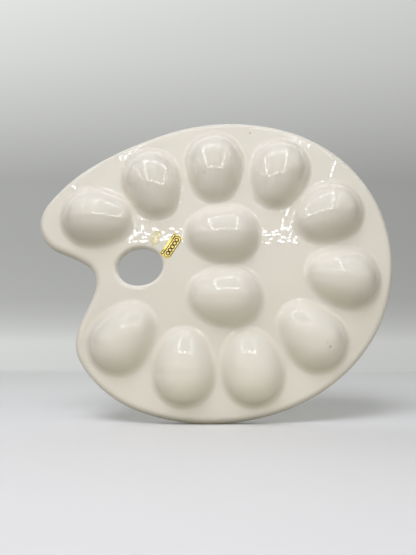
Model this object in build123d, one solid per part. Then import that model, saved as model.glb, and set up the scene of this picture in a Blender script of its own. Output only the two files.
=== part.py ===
from build123d import *
import math
import os

# A glazed ceramic palette dish with twelve egg-shaped wells and a thumb hole. Millimetres.
# Each sub-part is drawn with the dish lying on its rim, underside up: x and y in plan, z = 0 on the
# underside of the land and +z towards the crowns of the bulges. stand_up() then turns it upright:
# +X to the right, +Z up, the bulges facing -Y and the hollow side facing +Y, the lowest point of the
# rim at z = 0, and the whole thickness centred on y = 0.

# Casting
WALL = 4.5              # thickness everywhere
RIM_DEPTH = 12.0        # underside of the land to the lip of the rim
EDGE_RADIUS = 6.0       # round shoulder where the land turns into the rim
LIP_RADIUS = 2.0        # rounded lip of the rim and of the collar
FLOOR_RADIUS = 2.5      # inside corner between the land and the rim
COLLAR_DEPTH = 10.0     # underside of the land to the lip of the thumb hole's collar
HOLE_SHOULDER = 3.5     # round shoulder where the land turns into the thumb hole

# Rim outline, clockwise from the top: x, height above the lowest point, heading in degrees.
# Two tangent arcs join each point to the next.
RIM_POINTS = [
    (14.5, 261.0, 0),
    (101.5, 236.0, -35),
    (152.5, 135.0, -91),
    (113.0, 45.0, -136),
    (-4.0, 0.0, -180),
    (-104.0, 37.5, -228),
    (-117.0, 69.0, -276),
    (-107.0, 97.0, -294),
    (-104.0, 124.0, -243),
    (-118.0, 135.0, -206),
    (-147.5, 152.0, -235),
    (-152.5, 169.0, -275),
    (-134.0, 200.0, -314),
    (-90.0, 231.5, -332.5),
]

# Thumb hole: an oval
HOLE_CENTRE = (-64.5, 129.5)
HOLE_HALF_LENGTH = 19.5
HOLE_HALF_WIDTH = 16.0
HOLE_TILT = 10

# Egg wells: an egg of revolution whose long axis lies below the land
EGG_LENGTH = 64.3       # whole egg, outside of the wall
BLUNT_RADIUS = 26.2
TIP_RADIUS = 21.5
AXIS_DEPTH = 9.0        # land to the egg's long axis
BULGE_FILLET = 2.5      # where a bulge rises from the underside
MOUTH_FILLET = 3.0      # rounded mouth of each well
# Centre of each egg, and the direction in which its small end points
EGGS = [
    (-101.5, 172.5, -5),
    (-54.5, 202.5, -72),
    (-0.5, 217.5, -90),
    (55.5, 211.5, -108),
    (97.0, 176.5, 206),
    (107.5, 120.5, 168),
    (79.5, 71.5, 133),
    (29.5, 46.0, 101),
    (-26.0, 46.0, 90),
    (-76.5, 70.0, 52),
    (6.0, 158.2, 180),
    (8.0, 104.3, 180),
]

# Maker's label and old glue on the underside
LABEL_CENTRE = (-37.5, 147.2)
LABEL_SIZE = (22.4, 9.4)
LABEL_CORNER = 1.6
LABEL_TURN = 57
LABEL_THICKNESS = 0.15
GLUE_CENTRE = (-51.0, 154.5)
GLUE_SIZE = (15.0, 10.0)
GLUE_CORNER = 3.0
GLUE_TURN = 62
GLUE_THICKNESS = 0.1

BULGE_HEIGHT = BLUNT_RADIUS - AXIS_DEPTH
REACH = 400.0           # larger than the whole dish, for blocks that trim a shape
TOLERANCE = 0.001       # for picking edges by their height


def heading_vector(degrees):
    return Vector(math.cos(math.radians(degrees)), math.sin(math.radians(degrees)))


def arc_pair(start, start_heading, end, end_heading):
    """Two arcs that leave start along one heading and reach end along the other."""
    start_way = heading_vector(start_heading)
    end_way = heading_vector(end_heading)
    chord = end - start
    ways = start_way + end_way
    a = 2 * (1 - start_way.dot(end_way))
    b = 2 * chord.dot(ways)
    c = -chord.dot(chord)
    reach = (-b + math.sqrt(b * b - 4 * a * c)) / (2 * a)
    middle = (start + end + (start_way - end_way) * reach) / 2
    first = TangentArc(start, middle, tangent=start_way)
    second = TangentArc(middle, end, tangent=first % 1)
    return [first, second]


def rim_outline():
    arcs = []
    for here, there in zip(RIM_POINTS, RIM_POINTS[1:] + RIM_POINTS[:1]):
        arcs += arc_pair(Vector(*here[:2]), here[2], Vector(*there[:2]), there[2])
    return make_face(arcs)


def hole_outline(grow=0.0):
    oval = Ellipse(HOLE_HALF_LENGTH + grow, HOLE_HALF_WIDTH + grow)
    return Pos(*HOLE_CENTRE) * Rot(0, 0, HOLE_TILT) * oval


def at_height(edges, height):
    return edges.filter_by_position(Axis.Z, height - TOLERANCE, height + TOLERANCE)


def edges_at(shape, height):
    return at_height(shape.edges(), height)


def slab(face, top, bottom):
    """A straight block on face between two heights."""
    return extrude(Pos(0, 0, bottom) * face, amount=top - bottom, dir=(0, 0, 1))


def shell_blank(skin=0.0):
    """The dish's outside with no bulges: the land, rounded over into the rim and into the hole."""
    outline = rim_outline()
    block = slab(outline if skin == 0 else offset(outline, skin), skin, -RIM_DEPTH)
    block = fillet(edges_at(block, skin), EDGE_RADIUS + skin)
    block -= slab(hole_outline(-skin), skin + 1, -RIM_DEPTH - 1)
    hole_edge = edges_at(block, skin).sort_by_distance(Vector(*HOLE_CENTRE, skin))[0]
    return fillet(hole_edge, HOLE_SHOULDER + skin)


def hollow_under_land():
    """The space inside the rim and round the collar, on the hollow side."""
    ceiling = -WALL
    space = slab(offset(rim_outline(), -WALL), ceiling, -RIM_DEPTH - 1)
    space = fillet(edges_at(space, ceiling), FLOOR_RADIUS)
    collar = slab(hole_outline(WALL), ceiling + 1, -RIM_DEPTH - 2)
    space -= collar
    collar_edge = edges_at(space, ceiling).sort_by_distance(Vector(*HOLE_CENTRE, ceiling))[0]
    space = fillet(collar_edge, FLOOR_RADIUS)
    collar_gap = slab(hole_outline(WALL + 1), -COLLAR_DEPTH, -RIM_DEPTH - 1)
    return space + collar_gap


def plate():
    """The casting with its rim and collar, before the wells."""
    body = shell_blank() - hollow_under_land()
    body = fillet(edges_at(body, -RIM_DEPTH), LIP_RADIUS)
    return fillet(edges_at(body, -COLLAR_DEPTH), LIP_RADIUS)


def egg_cap(shrink, base):
    """The part of an egg of revolution above the height base, centred, small end along +x."""
    blunt = BLUNT_RADIUS - shrink
    tip = TIP_RADIUS - shrink
    spacing = EGG_LENGTH - BLUNT_RADIUS - TIP_RADIUS
    drop = (spacing**2 - (blunt - tip) ** 2) / (2 * (blunt - tip))
    slope = math.atan2(drop, spacing)
    crown = Vector(0, blunt)
    shoulder = Vector(spacing + tip * math.cos(slope), tip * math.sin(slope))
    blunt_arc = CenterArc((0, 0), blunt, 90, 90)
    side_arc = TangentArc(crown, shoulder, tangent=(1, 0))
    tip_arc = TangentArc(shoulder, Vector(spacing + tip, 0), tangent=side_arc % 1)
    axis_line = Line((-blunt, 0), (spacing + tip, 0))
    egg = revolve(make_face([blunt_arc, side_arc, tip_arc, axis_line]), Axis.X, 360)
    middle = (spacing + TIP_RADIUS - BLUNT_RADIUS) / 2
    egg = Pos(-middle, 0, -AXIS_DEPTH) * egg
    return egg & Pos(0, 0, base + REACH / 2) * Box(REACH, REACH, REACH)


def palette_body():
    """The whole casting. Each egg is worked with the dish moved so that the egg is at the origin."""
    body = plate()
    bulge = egg_cap(0, -WALL / 2)
    well = egg_cap(WALL, -WALL - 1)
    for x, y, turn in EGGS:
        place = Pos(x, y, 0) * Rot(0, 0, turn)
        flat = place.inverse() * body
        raised = flat + bulge
        raised = fillet(new_edges(flat, bulge, combined=raised), BULGE_FILLET)
        hollow = raised - well
        mouth = at_height(new_edges(raised, well, combined=hollow), -WALL)
        body = place * fillet(mouth, MOUTH_FILLET)
    return body


def sheet_on_underside(centre, size, corner, turn, thickness):
    """A thin sheet that lies on the land and follows the shoulder of the thumb hole."""
    outline = Pos(*centre) * Rot(0, 0, turn) * RectangleRounded(*size, corner)
    column = slab(outline, 1, -EDGE_RADIUS / 2)
    return (shell_blank(thickness) & column) - shell_blank()


def foil_label():
    return sheet_on_underside(LABEL_CENTRE, LABEL_SIZE, LABEL_CORNER, LABEL_TURN, LABEL_THICKNESS)


def glue_film():
    return sheet_on_underside(GLUE_CENTRE, GLUE_SIZE, GLUE_CORNER, GLUE_TURN, GLUE_THICKNESS)


def stand_up(shape):
    """Turns a lying shape upright, bulges towards -Y."""
    return Pos(0, (BULGE_HEIGHT - RIM_DEPTH) / 2, 0) * Rot(90, 0, 0) * shape


os.makedirs("parts", exist_ok=True)
for make in (palette_body, foil_label, glue_film):
    export_step(stand_up(make()), f"parts/{make.__name__}.step")
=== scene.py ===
import math
import random

import bpy
import numpy as np
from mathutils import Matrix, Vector


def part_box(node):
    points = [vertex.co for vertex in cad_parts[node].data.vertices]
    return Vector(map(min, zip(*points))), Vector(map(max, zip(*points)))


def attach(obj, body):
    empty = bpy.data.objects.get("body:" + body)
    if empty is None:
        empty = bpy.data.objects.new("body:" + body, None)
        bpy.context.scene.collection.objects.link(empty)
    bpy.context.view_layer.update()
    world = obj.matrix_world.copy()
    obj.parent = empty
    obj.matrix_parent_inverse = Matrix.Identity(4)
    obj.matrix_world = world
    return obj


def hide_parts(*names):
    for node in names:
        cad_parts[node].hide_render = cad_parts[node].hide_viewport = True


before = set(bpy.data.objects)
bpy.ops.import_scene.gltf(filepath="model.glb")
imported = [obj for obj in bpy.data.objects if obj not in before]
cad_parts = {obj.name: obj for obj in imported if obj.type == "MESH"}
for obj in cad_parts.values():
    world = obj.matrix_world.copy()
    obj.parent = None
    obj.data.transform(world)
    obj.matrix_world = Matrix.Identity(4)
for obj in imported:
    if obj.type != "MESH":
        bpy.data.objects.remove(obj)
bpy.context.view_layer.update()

# ---------------------------------------------------------------------------------------------
# The dish. These are part.py's dimensions, in millimetres, for the dish lying on its rim:
# x and y in plan, z = 0 on the underside of the land, +z towards the crowns of the bulges.
# ---------------------------------------------------------------------------------------------
MM = 0.001

WALL = 4.5
RIM_DEPTH = 12.0
EDGE_RADIUS = 6.0
COLLAR_DEPTH = 10.0
HOLE_SHOULDER = 3.5

RIM_POINTS = [
    (14.5, 261.0, 0),
    (101.5, 236.0, -35),
    (152.5, 135.0, -91),
    (113.0, 45.0, -136),
    (-4.0, 0.0, -180),
    (-104.0, 37.5, -228),
    (-117.0, 69.0, -276),
    (-107.0, 97.0, -294),
    (-104.0, 124.0, -243),
    (-118.0, 135.0, -206),
    (-147.5, 152.0, -235),
    (-152.5, 169.0, -275),
    (-134.0, 200.0, -314),
    (-90.0, 231.5, -332.5),
]

HOLE_CENTRE = (-64.5, 129.5)
HOLE_HALF_LENGTH = 19.5
HOLE_HALF_WIDTH = 16.0
HOLE_TILT = 10
COLLAR_REACH = 10.0     # the collar's wall lies within this of the hole's edge

EGG_LENGTH = 64.3
BLUNT_RADIUS = 26.2
TIP_RADIUS = 21.5
AXIS_DEPTH = 9.0
EGGS = [
    (-101.5, 172.5, -5),
    (-54.5, 202.5, -72),
    (-0.5, 217.5, -90),
    (55.5, 211.5, -108),
    (97.0, 176.5, 206),
    (107.5, 120.5, 168),
    (79.5, 71.5, 133),
    (29.5, 46.0, 101),
    (-26.0, 46.0, 90),
    (-76.5, 70.0, 52),
    (6.0, 158.2, 180),
    (8.0, 104.3, 180),
]
# The glaze fills the corner where a bulge rises from the land
GLAZE_FILLET = 4.0

LABEL_CENTRE = (-37.5, 147.2)
LABEL_SIZE = (22.4, 9.4)
LABEL_CORNER = 1.6
LABEL_TURN = 57
LABEL_THICKNESS = 0.12

GLUE_CENTRE = (-51.0, 154.5)
GLUE_SIZE = (15.0, 10.0)
GLUE_TURN = 62
GLUE_THICKNESS = 0.07

BULGE_HEIGHT = BLUNT_RADIUS - AXIS_DEPTH

GRID_STEP = 1.5
OUTLINE_MARGIN = 1.0    # the outline's arcs reach less than this past its points
PROJECTIONS = 3         # rounds that bring the mesh's points onto the exact surface
RELAXATIONS = 2         # rounds that even out the mesh on the surface
PROBE = 0.05            # step for the slope of the distance field
OVAL_ROUNDS = 4         # rounds that find the nearest point of the thumb hole's oval
LAND_ROUNDS = 12        # rounds that find the outer skin's height at a point of the plan
# Floors that keep a step small where a field is nearly flat
LEAST_BEND = 1.0
LEAST_SLOPE_SQUARED = 0.25
LEAST_RISE = 0.3

# ---------------------------------------------------------------------------------------------
# Distance fields, negative inside
# ---------------------------------------------------------------------------------------------


def heading_vector(degrees):
    return np.array([math.cos(math.radians(degrees)), math.sin(math.radians(degrees))])


def arc_between(start, way, end):
    """The arc that leaves start along way and reaches end, and its heading there."""
    chord = end - start
    left = np.array([-way[1], way[0]])
    curvature = 2 * left.dot(chord) / chord.dot(chord)
    centre = start + left / curvature
    sweep = 2 * math.atan2(left.dot(chord), way.dot(chord))
    first_angle = math.atan2(*(start - centre)[::-1])
    along = chord / np.linalg.norm(chord)
    arc = (centre, abs(1 / curvature), first_angle, sweep)
    return arc, 2 * way.dot(along) * along - way


def outline_arcs():
    """The rim's outline as arcs: centre, radius, first angle, sweep (negative turns clockwise)."""
    arcs = []
    for here, there in zip(RIM_POINTS, RIM_POINTS[1:] + RIM_POINTS[:1]):
        start, end = np.array(here[:2]), np.array(there[:2])
        start_way, end_way = heading_vector(here[2]), heading_vector(there[2])
        chord = end - start
        a = 2 * (1 - start_way.dot(end_way))
        b = 2 * chord.dot(start_way + end_way)
        c = -chord.dot(chord)
        reach = (-b + math.sqrt(b * b - 4 * a * c)) / (2 * a)
        middle = (start + end + (start_way - end_way) * reach) / 2
        first, middle_way = arc_between(start, start_way, middle)
        second, _ = arc_between(middle, middle_way, end)
        arcs += [first, second]
    return arcs


OUTLINE = outline_arcs()


def outline_distance(x, y):
    """Signed distance in plan to the rim's outline. The outline runs clockwise."""
    best = np.full(x.shape, np.inf)
    signed = np.zeros(x.shape)
    for (cx, cy), radius, first_angle, sweep in OUTLINE:
        turn = math.copysign(1, sweep)
        extent = abs(sweep)
        angle = np.mod((np.arctan2(y - cy, x - cx) - first_angle) * turn, 2 * math.pi)
        past = angle > extent
        nearer_end = angle - extent < 2 * math.pi - angle
        angle = np.where(past, np.where(nearer_end, extent, 0.0), angle)
        angle = first_angle + angle * turn
        nx, ny = np.cos(angle), np.sin(angle)
        dx, dy = x - cx - radius * nx, y - cy - radius * ny
        distance = np.hypot(dx, dy)
        side = np.where(-turn * (dx * nx + dy * ny) > 0, distance, -distance)
        nearer = distance < best
        best = np.where(nearer, distance, best)
        signed = np.where(nearer, side, signed)
    return signed


def hole_distance(x, y):
    """Signed distance in plan to the thumb hole's oval, negative in the hole. Newton's method finds
    the oval's nearest point."""
    tilt = math.radians(HOLE_TILT)
    dx, dy = x - HOLE_CENTRE[0], y - HOLE_CENTRE[1]
    u = dx * math.cos(tilt) + dy * math.sin(tilt)
    v = dy * math.cos(tilt) - dx * math.sin(tilt)
    a, b = HOLE_HALF_LENGTH, HOLE_HALF_WIDTH
    angle = np.arctan2(v * a, u * b)
    for _ in range(OVAL_ROUNDS):
        cos, sin = np.cos(angle), np.sin(angle)
        slope = (b * b - a * a) * sin * cos + a * u * sin - b * v * cos
        bend = (b * b - a * a) * (cos**2 - sin**2) + a * u * cos + b * v * sin
        angle = angle - slope / np.maximum(bend, LEAST_BEND)
    distance = np.hypot(u - a * np.cos(angle), v - b * np.sin(angle))
    return np.where((u / a) ** 2 + (v / b) ** 2 < 1, -distance, distance)


def rounded_prism(plan, z, radius):
    """A block that reaches down from z = 0 without end, with its top edge rounded."""
    a, b = plan + radius, z + radius
    corner = np.hypot(np.maximum(a, 0), np.maximum(b, 0))
    return corner + np.minimum(np.maximum(a, b), 0) - radius


def egg_distance(x, y, z, egg):
    """Distance to an egg of revolution. Its profile is three tangent arcs."""
    cx, cy, turn = egg
    way = heading_vector(turn)
    spacing = EGG_LENGTH - BLUNT_RADIUS - TIP_RADIUS
    taper = BLUNT_RADIUS - TIP_RADIUS
    drop = (spacing**2 - taper**2) / (2 * taper)
    middle = (spacing + TIP_RADIUS - BLUNT_RADIUS) / 2
    u = (x - cx) * way[0] + (y - cy) * way[1] + middle
    v = (y - cy) * way[0] - (x - cx) * way[1]
    rho = np.hypot(v, z + AXIS_DEPTH)
    blunt = np.hypot(u, rho) - BLUNT_RADIUS
    side = np.hypot(u, rho + drop) - (BLUNT_RADIUS + drop)
    tip = np.hypot(u - spacing, rho) - TIP_RADIUS
    at_tip = (rho + drop) * spacing < u * drop
    return np.where(u < 0, blunt, np.where(at_tip, tip, side))


def filleted_union(a, b, radius):
    """Two shapes joined, with the corner between them filled to a round."""
    corner = np.hypot(np.maximum(radius - a, 0), np.maximum(radius - b, 0))
    return np.maximum(radius, np.minimum(a, b)) - corner


def outside_field(x, y, z, outline, hole):
    """The dish's outer skin: land, rim, thumb hole and bulges, open below."""
    field = np.maximum(
        rounded_prism(outline, z, EDGE_RADIUS), rounded_prism(-hole, z, HOLE_SHOULDER)
    )
    for egg in EGGS:
        field = filleted_union(field, egg_distance(x, y, z, egg), GLAZE_FILLET)
    return field


def casting_field(x, y, z, outline, hole):
    """The casting: an even wall inside the outer skin, with a round lip."""
    middle = outside_field(x, y, z, outline, hole) + WALL / 2
    depth = np.where(hole < COLLAR_REACH, COLLAR_DEPTH, RIM_DEPTH)
    below = np.minimum(z + depth - WALL / 2, 0)
    return np.hypot(middle, below) - WALL / 2


def casting_at(points):
    x, y, z = points.T
    return casting_field(x, y, z, outline_distance(x, y), hole_distance(x, y))


def slope_at(points):
    """The casting field's gradient, from the four corners of a small tetrahedron."""
    corners = np.array([(1, -1, -1), (-1, -1, 1), (-1, 1, -1), (1, 1, 1)], float)
    total = np.zeros(points.shape)
    for corner in corners:
        total += corner * casting_at(points + corner * PROBE)[:, None]
    return total / (4 * PROBE)


def onto_surface(points):
    """Points moved along the slope until the casting's distance is nought."""
    slope = slope_at(points)
    steepness = np.maximum((slope**2).sum(1), LEAST_SLOPE_SQUARED)
    step = casting_at(points)[:, None] * slope / steepness[:, None]
    return points - np.clip(step, -GRID_STEP, GRID_STEP)


# ---------------------------------------------------------------------------------------------
# Mesh of the casting: one point in each grid cell that the surface crosses
# ---------------------------------------------------------------------------------------------


def grid_axis(low, high):
    """The grid's places along one axis, with two or more to spare at each end."""
    return np.arange(low - 2 * GRID_STEP, high + 3 * GRID_STEP, GRID_STEP)


def surface_net(values, axes):
    """Points and quads of the surface where values change sign. A cell's point is the mean of the
    places where the surface crosses its edges, and each crossed edge gets the quad of the four cells
    round it."""
    inside = values < 0
    shape = np.array(values.shape) - 1
    total = np.zeros((*shape, 3))
    count = np.zeros(shape)
    crossings = []
    for axis in range(3):
        low = [slice(None)] * 3
        high = [slice(None)] * 3
        low[axis], high[axis] = slice(None, -1), slice(1, None)
        crossed = inside[tuple(low)] != inside[tuple(high)]
        at = np.argwhere(crossed)
        first = values[tuple(at.T)]
        beyond = at.copy()
        beyond[:, axis] += 1
        second = values[tuple(beyond.T)]
        share = first / (first - second)
        place = np.stack([axes[i][at[:, i]] for i in range(3)], 1)
        place[:, axis] += share * GRID_STEP
        side_a, side_b = (axis + 1) % 3, (axis + 2) % 3
        around = []
        for back_a, back_b in ((1, 1), (0, 1), (0, 0), (1, 0)):
            cell = at.copy()
            cell[:, side_a] -= back_a
            cell[:, side_b] -= back_b
            np.add.at(total, tuple(cell.T), place)
            np.add.at(count, tuple(cell.T), 1)
            around.append(cell)
        crossings.append((around, inside[tuple(at.T)]))
    used = count > 0
    index = np.full(shape, -1)
    index[used] = np.arange(used.sum())
    quads = []
    for around, outward in crossings:
        quad = np.stack([index[tuple(cell.T)] for cell in around], 1)
        quads.append(np.where(outward[:, None], quad, quad[:, ::-1]))
    return total[used] / count[used][:, None], np.concatenate(quads)


def relax(points, quads):
    """Each point moves half way to the mean of its neighbours."""
    total = np.zeros(points.shape)
    count = np.zeros(len(points))
    for i in range(4):
        here, there = quads[:, i], quads[:, (i + 1) % 4]
        np.add.at(total, here, points[there])
        np.add.at(total, there, points[here])
        np.add.at(count, here, 1)
        np.add.at(count, there, 1)
    return points + 0.5 * (total / count[:, None] - points)


def casting_mesh():
    """The casting's points, quads and normals."""
    xs = [p[0] for p in RIM_POINTS]
    ys = [p[1] for p in RIM_POINTS]
    axes = [
        grid_axis(min(xs) - OUTLINE_MARGIN, max(xs) + OUTLINE_MARGIN),
        grid_axis(min(ys) - OUTLINE_MARGIN, max(ys) + OUTLINE_MARGIN),
        grid_axis(-RIM_DEPTH, BULGE_HEIGHT),
    ]
    plan_x, plan_y = np.meshgrid(axes[0], axes[1], indexing="ij")
    outline = outline_distance(plan_x, plan_y)[:, :, None]
    hole = hole_distance(plan_x, plan_y)[:, :, None]
    x, y, z = np.meshgrid(*axes, indexing="ij")
    points, quads = surface_net(casting_field(x, y, z, outline, hole), axes)
    for _ in range(RELAXATIONS):
        points = onto_surface(relax(points, quads))
    for _ in range(PROJECTIONS):
        points = onto_surface(points)
    slope = slope_at(points)
    return points, quads, slope / np.linalg.norm(slope, axis=1)[:, None]


# ---------------------------------------------------------------------------------------------
# From the lying dish to the frame
# ---------------------------------------------------------------------------------------------
body_low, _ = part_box("palette_body")


def stood_up(points):
    """Lying millimetres to the frame's metres: the dish stands on its rim, bulges towards -Y."""
    out = np.empty(points.shape)
    out[:, 0] = points[:, 0] * MM
    out[:, 1] = body_low.y + (BULGE_HEIGHT - points[:, 2]) * MM
    out[:, 2] = body_low.z + points[:, 1] * MM
    return out


def turned_up(directions):
    """Directions of the lying dish in the frame."""
    return np.stack([directions[:, 0], -directions[:, 2], directions[:, 1]], 1)


def add_mesh(name, points, faces, attributes, normals=None):
    """A smooth mesh piece in the frame, with float attributes on its points."""
    mesh = bpy.data.meshes.new(name)
    mesh.from_pydata(points.tolist(), [], faces)
    mesh.validate()
    mesh.polygons.foreach_set("use_smooth", [True] * len(mesh.polygons))
    for key, values in attributes.items():
        layer = mesh.attributes.new(key, "FLOAT", "POINT")
        layer.data.foreach_set("value", np.asarray(values, np.float32))
    if normals is not None:
        mesh.normals_split_custom_set_from_vertices(normals.tolist())
    mesh.update()
    piece = bpy.data.objects.new(name, mesh)
    bpy.context.scene.collection.objects.link(piece)
    return piece


def smooth_step(start, end, value):
    """0 at start and 1 at end, with a smooth change between. The start may be the larger number."""
    t = np.clip((value - start) / (end - start), 0, 1)
    return t * t * (3 - 2 * t)


# ---------------------------------------------------------------------------------------------
# Node helpers
# ---------------------------------------------------------------------------------------------
# The sockets of a Mix node that mixes colours
MIX_SHARE, MIX_FIRST, MIX_SECOND, MIX_RESULT = 0, 6, 7, 2


def colour(red, green, blue):
    return (red, green, blue, 1.0)


class Nodes:
    """Short calls for the nodes of a tree."""

    def __init__(self, tree):
        self.tree = tree

    def node(self, kind, **settings):
        made = self.tree.nodes.new(kind)
        for key, value in settings.items():
            setattr(made, key, value)
        return made

    def feed(self, socket, value):
        if isinstance(value, bpy.types.NodeSocket):
            self.tree.links.new(value, socket)
        else:
            socket.default_value = value

    def math(self, operation, *values):
        made = self.node("ShaderNodeMath", operation=operation)
        for socket, value in zip(made.inputs, values):
            self.feed(socket, value)
        return made.outputs[0]

    def place(self):
        return self.node("ShaderNodeTexCoord").outputs["Object"]

    def split(self, vector):
        """A vector's x, y and z."""
        made = self.node("ShaderNodeSeparateXYZ")
        self.feed(made.inputs[0], vector)
        return made.outputs

    def noise(self, scale, detail):
        made = self.node("ShaderNodeTexNoise")
        self.feed(made.inputs["Vector"], self.place())
        self.feed(made.inputs["Scale"], scale)
        self.feed(made.inputs["Detail"], detail)
        return made.outputs[0]

    def attribute(self, name):
        return self.node("ShaderNodeAttribute", attribute_name=name).outputs["Fac"]

    def spread(self, value, low, high, to_low=0.0, to_high=1.0, kind="SMOOTHSTEP"):
        """value from low..high to to_low..to_high, clamped."""
        made = self.node("ShaderNodeMapRange", interpolation_type=kind)
        for key, item in zip(
            ("Value", "From Min", "From Max", "To Min", "To Max"),
            (value, low, high, to_low, to_high),
        ):
            self.feed(made.inputs[key], item)
        return made.outputs[0]

    def mix(self, share, first, second):
        made = self.node("ShaderNodeMix", data_type="RGBA")
        self.feed(made.inputs[MIX_SHARE], share)
        self.feed(made.inputs[MIX_FIRST], first)
        self.feed(made.inputs[MIX_SECOND], second)
        return made.outputs[MIX_RESULT]

    def ramp(self, value, stops):
        """A colour for value, from stops that are a place and a colour each."""
        made = self.node("ShaderNodeValToRGB")
        self.feed(made.inputs[0], value)
        elements = made.color_ramp.elements
        while len(elements) < len(stops):
            elements.new(0.5)
        for element, (place, tone) in zip(elements, stops):
            element.position = place
            element.color = colour(*tone)
        return made.outputs[0]

    def distance_from(self, point):
        made = self.node("ShaderNodeVectorMath", operation="DISTANCE")
        self.feed(made.inputs[0], self.place())
        self.feed(made.inputs[1], point)
        return made.outputs["Value"]

    def bump(self, height, distance, strength):
        made = self.node("ShaderNodeBump")
        self.feed(made.inputs["Height"], height)
        self.feed(made.inputs["Distance"], distance)
        self.feed(made.inputs["Strength"], strength)
        return made.outputs[0]


class Shader(Nodes):
    """A new material and its nodes."""

    def __init__(self, name):
        self.material = bpy.data.materials.new(name)
        self.material.use_nodes = True
        super().__init__(self.material.node_tree)
        self.bsdf = self.tree.nodes["Principled BSDF"]

    def glow(self, tone, strength):
        """Makes the surface give out light in place of any other look."""
        made = self.node("ShaderNodeEmission")
        self.feed(made.inputs["Color"], tone)
        self.feed(made.inputs["Strength"], strength)
        self.feed(self.tree.nodes["Material Output"].inputs["Surface"], made.outputs[0])


# ---------------------------------------------------------------------------------------------
# Materials. Noise scales are per metre.
# ---------------------------------------------------------------------------------------------
# Small marks in the glaze: place, radius, darkness. A grey knock on one crown with a paler speck on
# each side, a faint spot on another crown, and a pinhole in the land.
MARKS = [
    ((0.0902, -0.0133, 0.0625), 0.0018, 0.34),
    ((0.0876, -0.0141, 0.0658), 0.0014, 0.13),
    ((0.0938, -0.0114, 0.0600), 0.0014, 0.11),
    ((-0.0096, -0.0106, 0.2081), 0.0022, 0.12),
    ((0.0312, 0.0026, 0.2501), 0.0010, 0.60),
]
MARK_CORE = 0.4         # the evenly dark middle of a mark, as a share of its radius
GLAZE_IOR = 1.7
RIPPLE = 0.00006        # metres, the height of the glaze's waves
FOIL_GRAIN = 0.0001     # metres, the height of the foil's stamping


def glaze_material():
    """Cream slip-cast glaze: glossy, a little deeper in tone where it pools, with painted shade in the
    same corners.
    """
    s = Shader("cream_glaze")
    clouds = s.spread(s.noise(14.0, 3.0), 0.35, 0.65)
    base = s.mix(clouds, colour(0.718, 0.684, 0.634), colour(0.700, 0.666, 0.616))
    # Darker and yellower round the foot of each bulge: partly glaze that pools there, partly painted
    # shade in the corner.
    pooled_and_shaded = s.math("MULTIPLY", s.attribute("pool_and_shade"), 0.25)
    base = s.mix(pooled_and_shaded, base, colour(0.66, 0.61, 0.51))
    specks = s.spread(s.noise(900.0, 2.0), 0.66, 0.74, 0.0, 0.10)
    base = s.mix(specks, base, colour(0.55, 0.48, 0.38))
    ragged = s.spread(s.noise(1200.0, 2.0), 0.3, 0.7, 0.75, 1.25)
    for place, radius, darkness in MARKS:
        away = s.math("MULTIPLY", s.distance_from(place), ragged)
        mark = s.spread(away, radius * MARK_CORE, radius, darkness, 0.0)
        base = s.mix(mark, base, colour(0.14, 0.135, 0.12))
    s.feed(s.bsdf.inputs["Base Color"], base)
    s.feed(s.bsdf.inputs["Roughness"], s.spread(s.noise(40.0, 3.0), 0.3, 0.7, 0.02, 0.04))
    s.bsdf.inputs["IOR"].default_value = GLAZE_IOR
    ripple = s.math("ADD", s.noise(45.0, 1.0), s.math("MULTIPLY", s.noise(160.0, 1.0), 0.12))
    s.feed(s.bsdf.inputs["Normal"], s.bump(ripple, RIPPLE, 0.5))
    return s.material


def foil_material():
    """Gold foil, stamped, with a black printed ornament."""
    s = Shader("gold_foil")
    ink = s.attribute("ink")
    wear = s.spread(s.noise(900.0, 3.0), 0.35, 0.7)
    gold = s.mix(wear, colour(0.98, 0.80, 0.30), colour(0.93, 0.70, 0.20))
    s.feed(s.bsdf.inputs["Base Color"], s.mix(ink, gold, colour(0.012, 0.010, 0.008)))
    s.feed(s.bsdf.inputs["Metallic"], s.spread(ink, 0.3, 0.7, 0.85, 0.0))
    s.feed(s.bsdf.inputs["Roughness"], s.spread(ink, 0.3, 0.7, 0.34, 0.5))
    s.feed(s.bsdf.inputs["Normal"], s.bump(s.noise(1400.0, 2.0), FOIL_GRAIN, 0.5))
    return s.material


def glue_material():
    """What an older label left behind: a thin yellowed film that fades out at its edge."""
    s = Shader("old_glue")
    clouds = s.spread(s.noise(350.0, 3.0), 0.35, 0.65)
    tone = s.mix(clouds, colour(0.86, 0.76, 0.44), colour(0.88, 0.80, 0.50))
    s.feed(s.bsdf.inputs["Base Color"], tone)
    s.feed(s.bsdf.inputs["Roughness"], s.spread(s.noise(500.0, 2.0), 0.3, 0.7, 0.12, 0.3))
    patches = s.spread(s.noise(220.0, 2.0), 0.35, 0.65, 0.45, 0.70)
    s.feed(s.bsdf.inputs["Alpha"], s.math("MULTIPLY", s.attribute("cover"), patches))
    return s.material


# ---------------------------------------------------------------------------------------------
# The casting
# ---------------------------------------------------------------------------------------------
# Where the glaze pools and painted shade darkens the corner: distances from an egg's surface, and
# heights off the land, in millimetres
POOL_SHADE_FULL, POOL_SHADE_END = 0.05 * GLAZE_FILLET, 0.62 * GLAZE_FILLET
POOL_SHADE_FULL_HEIGHT, POOL_SHADE_END_HEIGHT = 1.0, 4.5


def glaze_pool_and_shade(points):
    """1 in the corner between a bulge and the land, fading out on the land and up the bulge: where the
    glaze pools and where painted shade darkens the corner.
    """
    x, y, z = points.T
    nearest_egg = np.min([egg_distance(x, y, z, egg) for egg in EGGS], axis=0)
    near_egg = smooth_step(POOL_SHADE_END, POOL_SHADE_FULL, nearest_egg)
    return near_egg * smooth_step(POOL_SHADE_END_HEIGHT, POOL_SHADE_FULL_HEIGHT, np.abs(z))


points, quads, normals = casting_mesh()
attributes = {"pool_and_shade": glaze_pool_and_shade(points)}
body = add_mesh("dish_casting", stood_up(points), quads.tolist(), attributes, turned_up(normals))
body.data.materials.append(glaze_material())
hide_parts("palette_body")
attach(body, "root")

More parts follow.
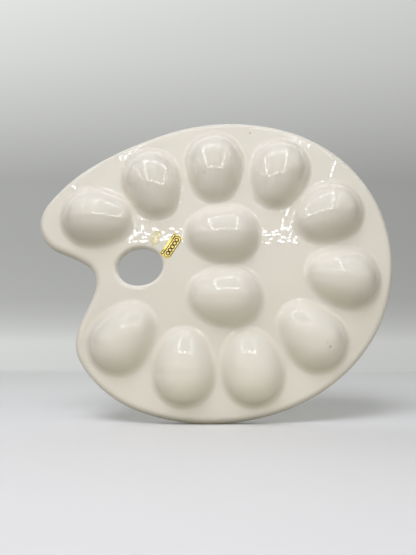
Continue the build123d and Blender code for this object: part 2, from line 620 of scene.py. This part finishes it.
# ---------------------------------------------------------------------------------------------
# Label and glue: closed sheets whose u runs along them and v across, from their middle, in
# millimetres
# ---------------------------------------------------------------------------------------------
SHEET_SINK = 0.02       # a sheet's back lies this far inside the glaze


def land_height(x, y):
    """The outer skin's height at points of the plan."""
    height = np.zeros(x.shape)
    outline, hole = outline_distance(x, y), hole_distance(x, y)
    for _ in range(LAND_ROUNDS):
        here = outside_field(x, y, height, outline, hole)
        slope = (outside_field(x, y, height + PROBE, outline, hole) - here) / PROBE
        height = height - here / np.maximum(slope, LEAST_RISE)
    return height


def sheet_points(u, v, centre, turn, above):
    """Points at a height above the land, or above the shoulder of the thumb hole."""
    way = heading_vector(turn)
    x = centre[0] + u * way[0] - v * way[1]
    y = centre[1] + u * way[1] + v * way[0]
    return np.stack([x, y, land_height(x, y) + above], 1)


def closed_grid(rows, columns):
    """Faces of two grids of points, top and bottom, joined round the edge into one closed sheet."""
    count = rows * columns
    index = np.arange(count).reshape(rows, columns)
    first = index[:-1, :-1].ravel()
    top = np.stack([first, first + 1, first + columns + 1, first + columns], 1)
    edge = np.concatenate([index[0], index[1:, -1], index[-1, -2::-1], index[-2:0:-1, 0]])
    after = np.roll(edge, -1)
    side = np.stack([edge, edge + count, after + count, after], 1)
    return np.concatenate([top, top[:, ::-1] + count, side]).tolist()


def closed_disc(rings, spokes):
    """Faces of two discs of points, each a middle point and rings round it, joined at the edge."""
    count = 1 + rings * spokes
    faces = []
    for ring in range(rings):
        for spoke in range(spokes):
            outer = 1 + ring * spokes + spoke
            outer_next = 1 + ring * spokes + (spoke + 1) % spokes
            if ring == 0:
                faces += [(0, outer, outer_next), (count, outer_next + count, outer + count)]
            else:
                inner, inner_next = outer - spokes, outer_next - spokes
                faces += [
                    (inner, outer, outer_next, inner_next),
                    (inner_next + count, outer_next + count, outer + count, inner + count),
                ]
            if ring == rings - 1:
                faces.append((outer, outer + count, outer_next + count, outer_next))
    return faces


# The label's print: a chain of rings in a frame, with lozenges between them, and two short bars in
# the strip beside it
FRAME_SHIFT = -1.05     # the frame sits to one side, beside the plain strip
FRAME_HALF = (10.1, 3.1)
FRAME_CORNER = 2.9
FRAME_LINE = 0.70
RINGS = 5
RING_PITCH = 3.45
RING_HALF = (1.95, 2.15)
RING_SHARE = 0.75       # the middle of a ring's line, as a share of RING_HALF
RING_LINE = 0.95
LOZENGE_HALF = 1.0      # half height
LOZENGE_SLIMNESS = 1.4  # height to width
STRIP_SHIFT = 3.25
STRIP_HALF = (10.0, 0.75)
STRIP_CORNER = 0.5
STRIP_GAP = 5.6         # the bars start this far from the label's middle
PRINT_EDGE = 0.10       # half the width over which the ink fades out

LABEL_PITCH = 0.12
LABEL_HALF = (LABEL_SIZE[0] / 2, LABEL_SIZE[1] / 2)
LABEL_EDGE = 0.5        # the edge is pressed down over this width,
EDGE_SHARE = 0.5        # by this share of the thickness
INK_RELIEF = 0.02


def rounded_box(u, v, half, corner):
    a, b = np.abs(u) - half[0] + corner, np.abs(v) - half[1] + corner
    return np.hypot(np.maximum(a, 0), np.maximum(b, 0)) + np.minimum(np.maximum(a, b), 0) - corner


def label_ink(u, v):
    """1 where the label is printed black."""
    across = v - FRAME_SHIFT
    distance = np.abs(rounded_box(u, across, FRAME_HALF, FRAME_CORNER)) - FRAME_LINE / 2
    for n in range(RINGS):
        along = u - (n - (RINGS - 1) / 2) * RING_PITCH
        ring = np.hypot(along / RING_HALF[0], across / RING_HALF[1]) - RING_SHARE
        distance = np.minimum(distance, np.abs(ring) * min(RING_HALF) - RING_LINE / 2)
        if n:
            lozenge = np.abs(along + RING_PITCH / 2) * LOZENGE_SLIMNESS + np.abs(across)
            distance = np.minimum(distance, lozenge - LOZENGE_HALF)
    strip = rounded_box(u, v - STRIP_SHIFT, STRIP_HALF, STRIP_CORNER)
    bars = np.maximum(np.abs(strip) - FRAME_LINE / 2, STRIP_GAP - np.abs(u))
    return smooth_step(PRINT_EDGE, -PRINT_EDGE, np.minimum(distance, bars))


def label_sheet():
    """The foil label's points, faces and print. The grid is drawn in round the corners."""
    rows, columns = (int(size / LABEL_PITCH) + 1 for size in LABEL_SIZE)
    u, v = np.meshgrid(
        np.linspace(-LABEL_HALF[0], LABEL_HALF[0], rows),
        np.linspace(-LABEL_HALF[1], LABEL_HALF[1], columns),
        indexing="ij",
    )
    corner_u = np.maximum(np.abs(u) - LABEL_HALF[0] + LABEL_CORNER, 0)
    corner_v = np.maximum(np.abs(v) - LABEL_HALF[1] + LABEL_CORNER, 0)
    shrink = np.maximum(corner_u, corner_v) / np.maximum(np.hypot(corner_u, corner_v), 1e-9)
    u = (u - np.sign(u) * corner_u * (1 - shrink)).ravel()
    v = (v - np.sign(v) * corner_v * (1 - shrink)).ravel()
    ink = label_ink(u, v)
    pressed = smooth_step(-LABEL_EDGE, 0.0, rounded_box(u, v, LABEL_HALF, LABEL_CORNER))
    above = LABEL_THICKNESS * (1 - EDGE_SHARE * pressed) + INK_RELIEF * ink
    top = sheet_points(u, v, LABEL_CENTRE, LABEL_TURN, above)
    bottom = sheet_points(u, v, LABEL_CENTRE, LABEL_TURN, -SHEET_SINK)
    print_on_top = np.concatenate([ink, np.zeros(len(ink))])
    return np.concatenate([top, bottom]), closed_grid(rows, columns), print_on_top


points, faces, ink = label_sheet()
label = add_mesh("foil_sticker", stood_up(points), faces, {"ink": ink})
label.data.materials.append(foil_material())
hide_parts("foil_label")
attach(label, "root")

GLUE_RINGS, GLUE_SPOKES = 14, 72
GLUE_REACH = 1.02       # the patch's half sizes, as a share of GLUE_SIZE's halves
GLUE_WAVES = [(2, 0.10, 0.7), (3, 0.07, 2.1), (5, 0.05, 4.0)]   # waves round the edge, height, phase
GLUE_FADE = 0.65        # the film thins out from this share of the way to the edge
GLUE_EDGE = 0.02        # thickness at the edge


def glue_sheet():
    """The old glue's points, faces and cover: a patch with a wandering edge, thickest in the middle."""
    angle = np.linspace(0, 2 * math.pi, GLUE_SPOKES, endpoint=False)
    share = np.linspace(0, 1, GLUE_RINGS + 1)[1:]
    reach = np.full(GLUE_SPOKES, GLUE_REACH)
    for waves, height, phase in GLUE_WAVES:
        reach = reach + GLUE_REACH * height * np.sin(waves * angle + phase)
    out = share[:, None] * reach
    u = np.concatenate([[0.0], (out * np.cos(angle) * GLUE_SIZE[0] / 2).ravel()])
    v = np.concatenate([[0.0], (out * np.sin(angle) * GLUE_SIZE[1] / 2).ravel()])
    cover = np.concatenate([[1.0], np.repeat(smooth_step(1.0, GLUE_FADE, share), GLUE_SPOKES)])
    above = GLUE_EDGE + (GLUE_THICKNESS - GLUE_EDGE) * cover
    top = sheet_points(u, v, GLUE_CENTRE, GLUE_TURN, above)
    bottom = sheet_points(u, v, GLUE_CENTRE, GLUE_TURN, -SHEET_SINK)
    faces = closed_disc(GLUE_RINGS, GLUE_SPOKES)
    return np.concatenate([top, bottom]), faces, np.concatenate([cover, cover])


points, faces, cover = glue_sheet()
glue = add_mesh("glue_patch", stood_up(points), faces, {"cover": cover})
glue.data.materials.append(glue_material())
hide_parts("glue_film")
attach(glue, "root")

# ---------------------------------------------------------------------------------------------
# Stage: floor and backdrop
# ---------------------------------------------------------------------------------------------
scene = bpy.context.scene
scene.view_settings.view_transform = "Standard"

STAGE_REACH = 3.0       # floor and backdrop to each side, the floor in front, the backdrop upwards
BACKDROP_Y = 0.62

# The backdrop glows, with painted light and shade by height in metres: bright as white card at the
# foot, then a grey that brightens towards the top. The painted light also dims from left to right.
BACKDROP_PAINTED_LIGHT = [
    (0.000, 0.60),
    (0.062, 0.62),
    (0.090, 0.53),
    (0.120, 0.46),
    (0.160, 0.405),
    (0.230, 0.385),
    (0.300, 0.37),
    (0.450, 0.365),
    (0.606, 0.50),
    (0.770, 0.62),
    (0.940, 0.70),
]
BACKDROP_TINT = (0.985, 1.0, 0.975)
BACKDROP_PAINTED_DIMMING = -0.2     # per metre to the right


def stage_plane(name, first_edge, last_edge, material):
    """A wide card between two edges that are given by their y and z."""
    left, right = -STAGE_REACH, STAGE_REACH
    corners = [(left, *first_edge), (right, *first_edge), (right, *last_edge), (left, *last_edge)]
    mesh = bpy.data.meshes.new(name)
    mesh.from_pydata(corners, [], [(0, 1, 2, 3)])
    made = bpy.data.objects.new(name, mesh)
    scene.collection.objects.link(made)
    mesh.materials.append(material)
    return made


def floor_material():
    """White card with painted shade: a little darker in front, where less light reaches."""
    s = Shader("floor_card")
    depth = s.split(s.place())[1]
    # Painted shade: the floor darkens towards the front.
    tone = s.mix(s.spread(depth, -0.15, 0.35), colour(0.92, 0.92, 0.94), colour(0.99, 0.99, 1.0))
    s.feed(s.bsdf.inputs["Base Color"], tone)
    s.bsdf.inputs["Roughness"].default_value = 0.6
    s.bsdf.inputs["Specular IOR Level"].default_value = 0.2
    return s.material


def backdrop_material():
    s = Shader("backdrop_painted_glow")
    across, _, height = s.split(s.place())
    stops = [(place, [tone * part for part in BACKDROP_TINT]) for place, tone in BACKDROP_PAINTED_LIGHT]
    # The backdrop is no lamp but glows: its light and shade are painted.
    s.glow(s.ramp(height, stops), s.math("MULTIPLY_ADD", across, BACKDROP_PAINTED_DIMMING, 1.0))
    return s.material


floor = stage_plane("floor", (-STAGE_REACH, 0), (BACKDROP_Y, 0), floor_material())
# The floor throws no light back on the dish
floor.visible_diffuse = False
stage_plane("backdrop", (BACKDROP_Y, 0), (BACKDROP_Y, STAGE_REACH), backdrop_material())

# ---------------------------------------------------------------------------------------------
# Small lamps, as in a folding light tent: a slanted rectangle in front of and above the dish, and
# flaps at its sides. The rectangle is there twice, once to light and once to be reflected. The
# flaps are only reflected.
# ---------------------------------------------------------------------------------------------
DISH_MIDDLE = Vector((0, 0, 0.13))
RING_LEFT, RING_RIGHT = -0.095, 0.095
RING_NEAR = (-0.190, 0.212)     # y and z of the lower edge
RING_FAR = (-0.080, 0.330)      # y and z of the upper edge
RING_ROWS = 3
ROW_PITCH = 0.008
# Each flap's rows of lamps run from corner to corner
FLAPS = [
    [(0.135, -0.190, 0.205), (0.150, -0.085, 0.312), (0.240, -0.050, 0.268)],
    [(-0.172, -0.190, 0.203), (-0.158, -0.045, 0.298), (-0.228, -0.010, 0.258)],
]
LAMP_LENGTH, LAMP_WIDTH = 0.0056, 0.0019
LAMP_SPREAD = (0.6, 1.2)        # shortest and longest, as a share of LAMP_LENGTH
LAMP_PITCH = 0.0075
LAMP_STRAY = 0.0032             # how far a lamp may sit off its place
LAMP_SEED = 4
LAMP_TINT = colour(0.94, 0.97, 1.0)
RING_STRENGTH = 7.0
RING_SPARKLE = 16.0
FLAP_SPARKLE = 15.0


def ring_sides(grow):
    """The four sides of the slanted rectangle, moved out by grow."""
    near, far = Vector((0, *RING_NEAR)), Vector((0, *RING_FAR))
    rise = (far - near).normalized() * grow
    near, far = near - rise, far + rise
    left, right = Vector((RING_LEFT - grow, 0, 0)), Vector((RING_RIGHT + grow, 0, 0))
    corners = [near + left, near + right, far + right, far + left]
    return list(zip(corners, corners[1:] + corners[:1]))


def lamp_rows(name, rows, strength, reflected):
    """Short bar lamps along straight rows, each turned towards the dish. Those that are reflected are
    seen in the glaze only, and the others only light it."""
    corners, faces = [], []
    stray = random.Random(LAMP_SEED)
    for start, end in rows:
        start, end = Vector(start), Vector(end)
        along = (end - start).normalized()
        count = round((end - start).length / LAMP_PITCH)
        for n in range(count + 1):
            middle = start.lerp(end, n / count)
            across = along.cross(DISH_MIDDLE - middle).normalized()
            middle += (along * stray.uniform(-1, 1) + across * stray.uniform(-1, 1)) * LAMP_STRAY
            length = LAMP_LENGTH * stray.uniform(*LAMP_SPREAD)
            faces.append(range(len(corners), len(corners) + 4))
            for a, b in ((-1, -1), (-1, 1), (1, 1), (1, -1)):
                corners.append(middle + along * a * length / 2 + across * b * LAMP_WIDTH / 2)
    mesh = bpy.data.meshes.new(name)
    mesh.from_pydata(corners, [], faces)
    lamps = bpy.data.objects.new(name, mesh)
    scene.collection.objects.link(lamps)
    s = Shader(name + "_glow")
    s.glow(LAMP_TINT, strength)
    mesh.materials.append(s.material)
    lamps.visible_camera = False
    lamps.visible_glossy = reflected
    lamps.visible_diffuse = not reflected


RING = [side for row in range(RING_ROWS) for side in ring_sides(row * ROW_PITCH)]
FLAP_ROWS = [row for flap in FLAPS for row in zip(flap, flap[1:])]
lamp_rows("lamp_ring", RING, RING_STRENGTH, False)
lamp_rows("ring_sparkle", RING, RING_SPARKLE, True)
lamp_rows("flap_sparkle", FLAP_ROWS, FLAP_SPARKLE, True)

# ---------------------------------------------------------------------------------------------
# Soft lights: name, place, what it points at, size, power in watts, colour
# ---------------------------------------------------------------------------------------------
KEY_LIGHT = ("key", (-0.22, -0.62, 0.95), (0, 0, 0.12), (0.55, 0.55), 6.6, (0.93, 0.91, 0.97))
# These are the dish's own, and the floor doesn't get them
DISH_LIGHTS = [
    ("fill_right", (0.36, -0.42, 0.40), (0.05, 0, 0.12), (0.3, 0.3), 0.6, (1.0, 0.98, 0.94)),
    ("fill_left", (-0.38, -0.36, 0.26), (-0.08, 0, 0.10), (0.3, 0.3), 0.35, (1.0, 0.98, 0.92)),
    ("bounce", (0, -0.06, 0.004), (0, -0.06, 1.0), (0.36, 0.10), 0.05, (1.0, 0.94, 0.80)),
    ("low", (0, -0.24, 0.01), (0, 0, 0.03), (0.40, 0.03), 0.05, (1.0, 0.96, 0.86)),
    ("back", (0.25, 0.55, 0.60), (0, 0, 0.12), (0.5, 0.5), 4.0, (1.0, 0.97, 0.90)),
]


def area_light(name, place, target, size, power, tint):
    """A soft rectangular light that neither the camera nor a reflection shows."""
    data = bpy.data.lights.new(name, "AREA")
    data.shape = "RECTANGLE"
    data.size, data.size_y = size
    data.energy = power
    data.color = tint
    light = bpy.data.objects.new(name, data)
    light.location = place
    light.rotation_euler = (Vector(target) - Vector(place)).to_track_quat("-Z", "Y").to_euler()
    scene.collection.objects.link(light)
    light.visible_camera = False
    light.visible_glossy = False
    return light


dish_only = bpy.data.collections.new("dish_only")
for piece in (body, label, glue):
    dish_only.objects.link(piece)
area_light(*KEY_LIGHT)
for settings in DISH_LIGHTS:
    area_light(*settings).light_linking.receiver_collection = dish_only

# ---------------------------------------------------------------------------------------------
# World: the tent's walls
# ---------------------------------------------------------------------------------------------
# In front: height of the direction, from straight down at 0 to straight up at 1, and colour
FRONT_STOPS = [
    (0.00, (0.40, 0.37, 0.22)),
    (0.45, (0.00, 0.00, 0.00)),
    (0.60, (0.98, 0.98, 0.84)),
    (1.00, (0.05, 0.10, 0.14)),
]
BACK_COLOUR = (0.05, 0.05, 0.045)
# y of the directions between which the front gives way to the back
FRONT_END, BACK_START = -0.45, 0.0


def studio_world():
    """In front a pale band above the horizon and warm light from below, and one dim colour behind."""
    world = bpy.data.worlds.new("studio")
    scene.world = world
    world.use_nodes = True
    s = Nodes(world.node_tree)
    _, depth, height = s.split(s.node("ShaderNodeTexCoord").outputs["Generated"])
    front = s.ramp(s.spread(height, -1.0, 1.0, kind="LINEAR"), FRONT_STOPS)
    behind = s.spread(depth, FRONT_END, BACK_START, kind="LINEAR")
    walls = s.mix(behind, front, colour(*BACK_COLOUR))
    s.feed(s.tree.nodes["Background"].inputs["Color"], walls)


studio_world()

# ---------------------------------------------------------------------------------------------
# Camera: low, looking up a little at the dish
# ---------------------------------------------------------------------------------------------
TILT_UP = 8.4           # degrees

camera_data = bpy.data.cameras.new("camera")
camera_data.lens = 27.05
camera_data.sensor_width = 36.0
camera_data.clip_start = 0.01
camera_data.clip_end = 20
camera = bpy.data.objects.new("camera", camera_data)
camera.location = (-0.0062, -0.3460, 0.0685)
camera.rotation_euler = (math.radians(90 + TILT_UP), 0, 0)
scene.collection.objects.link(camera)
scene.camera = camera
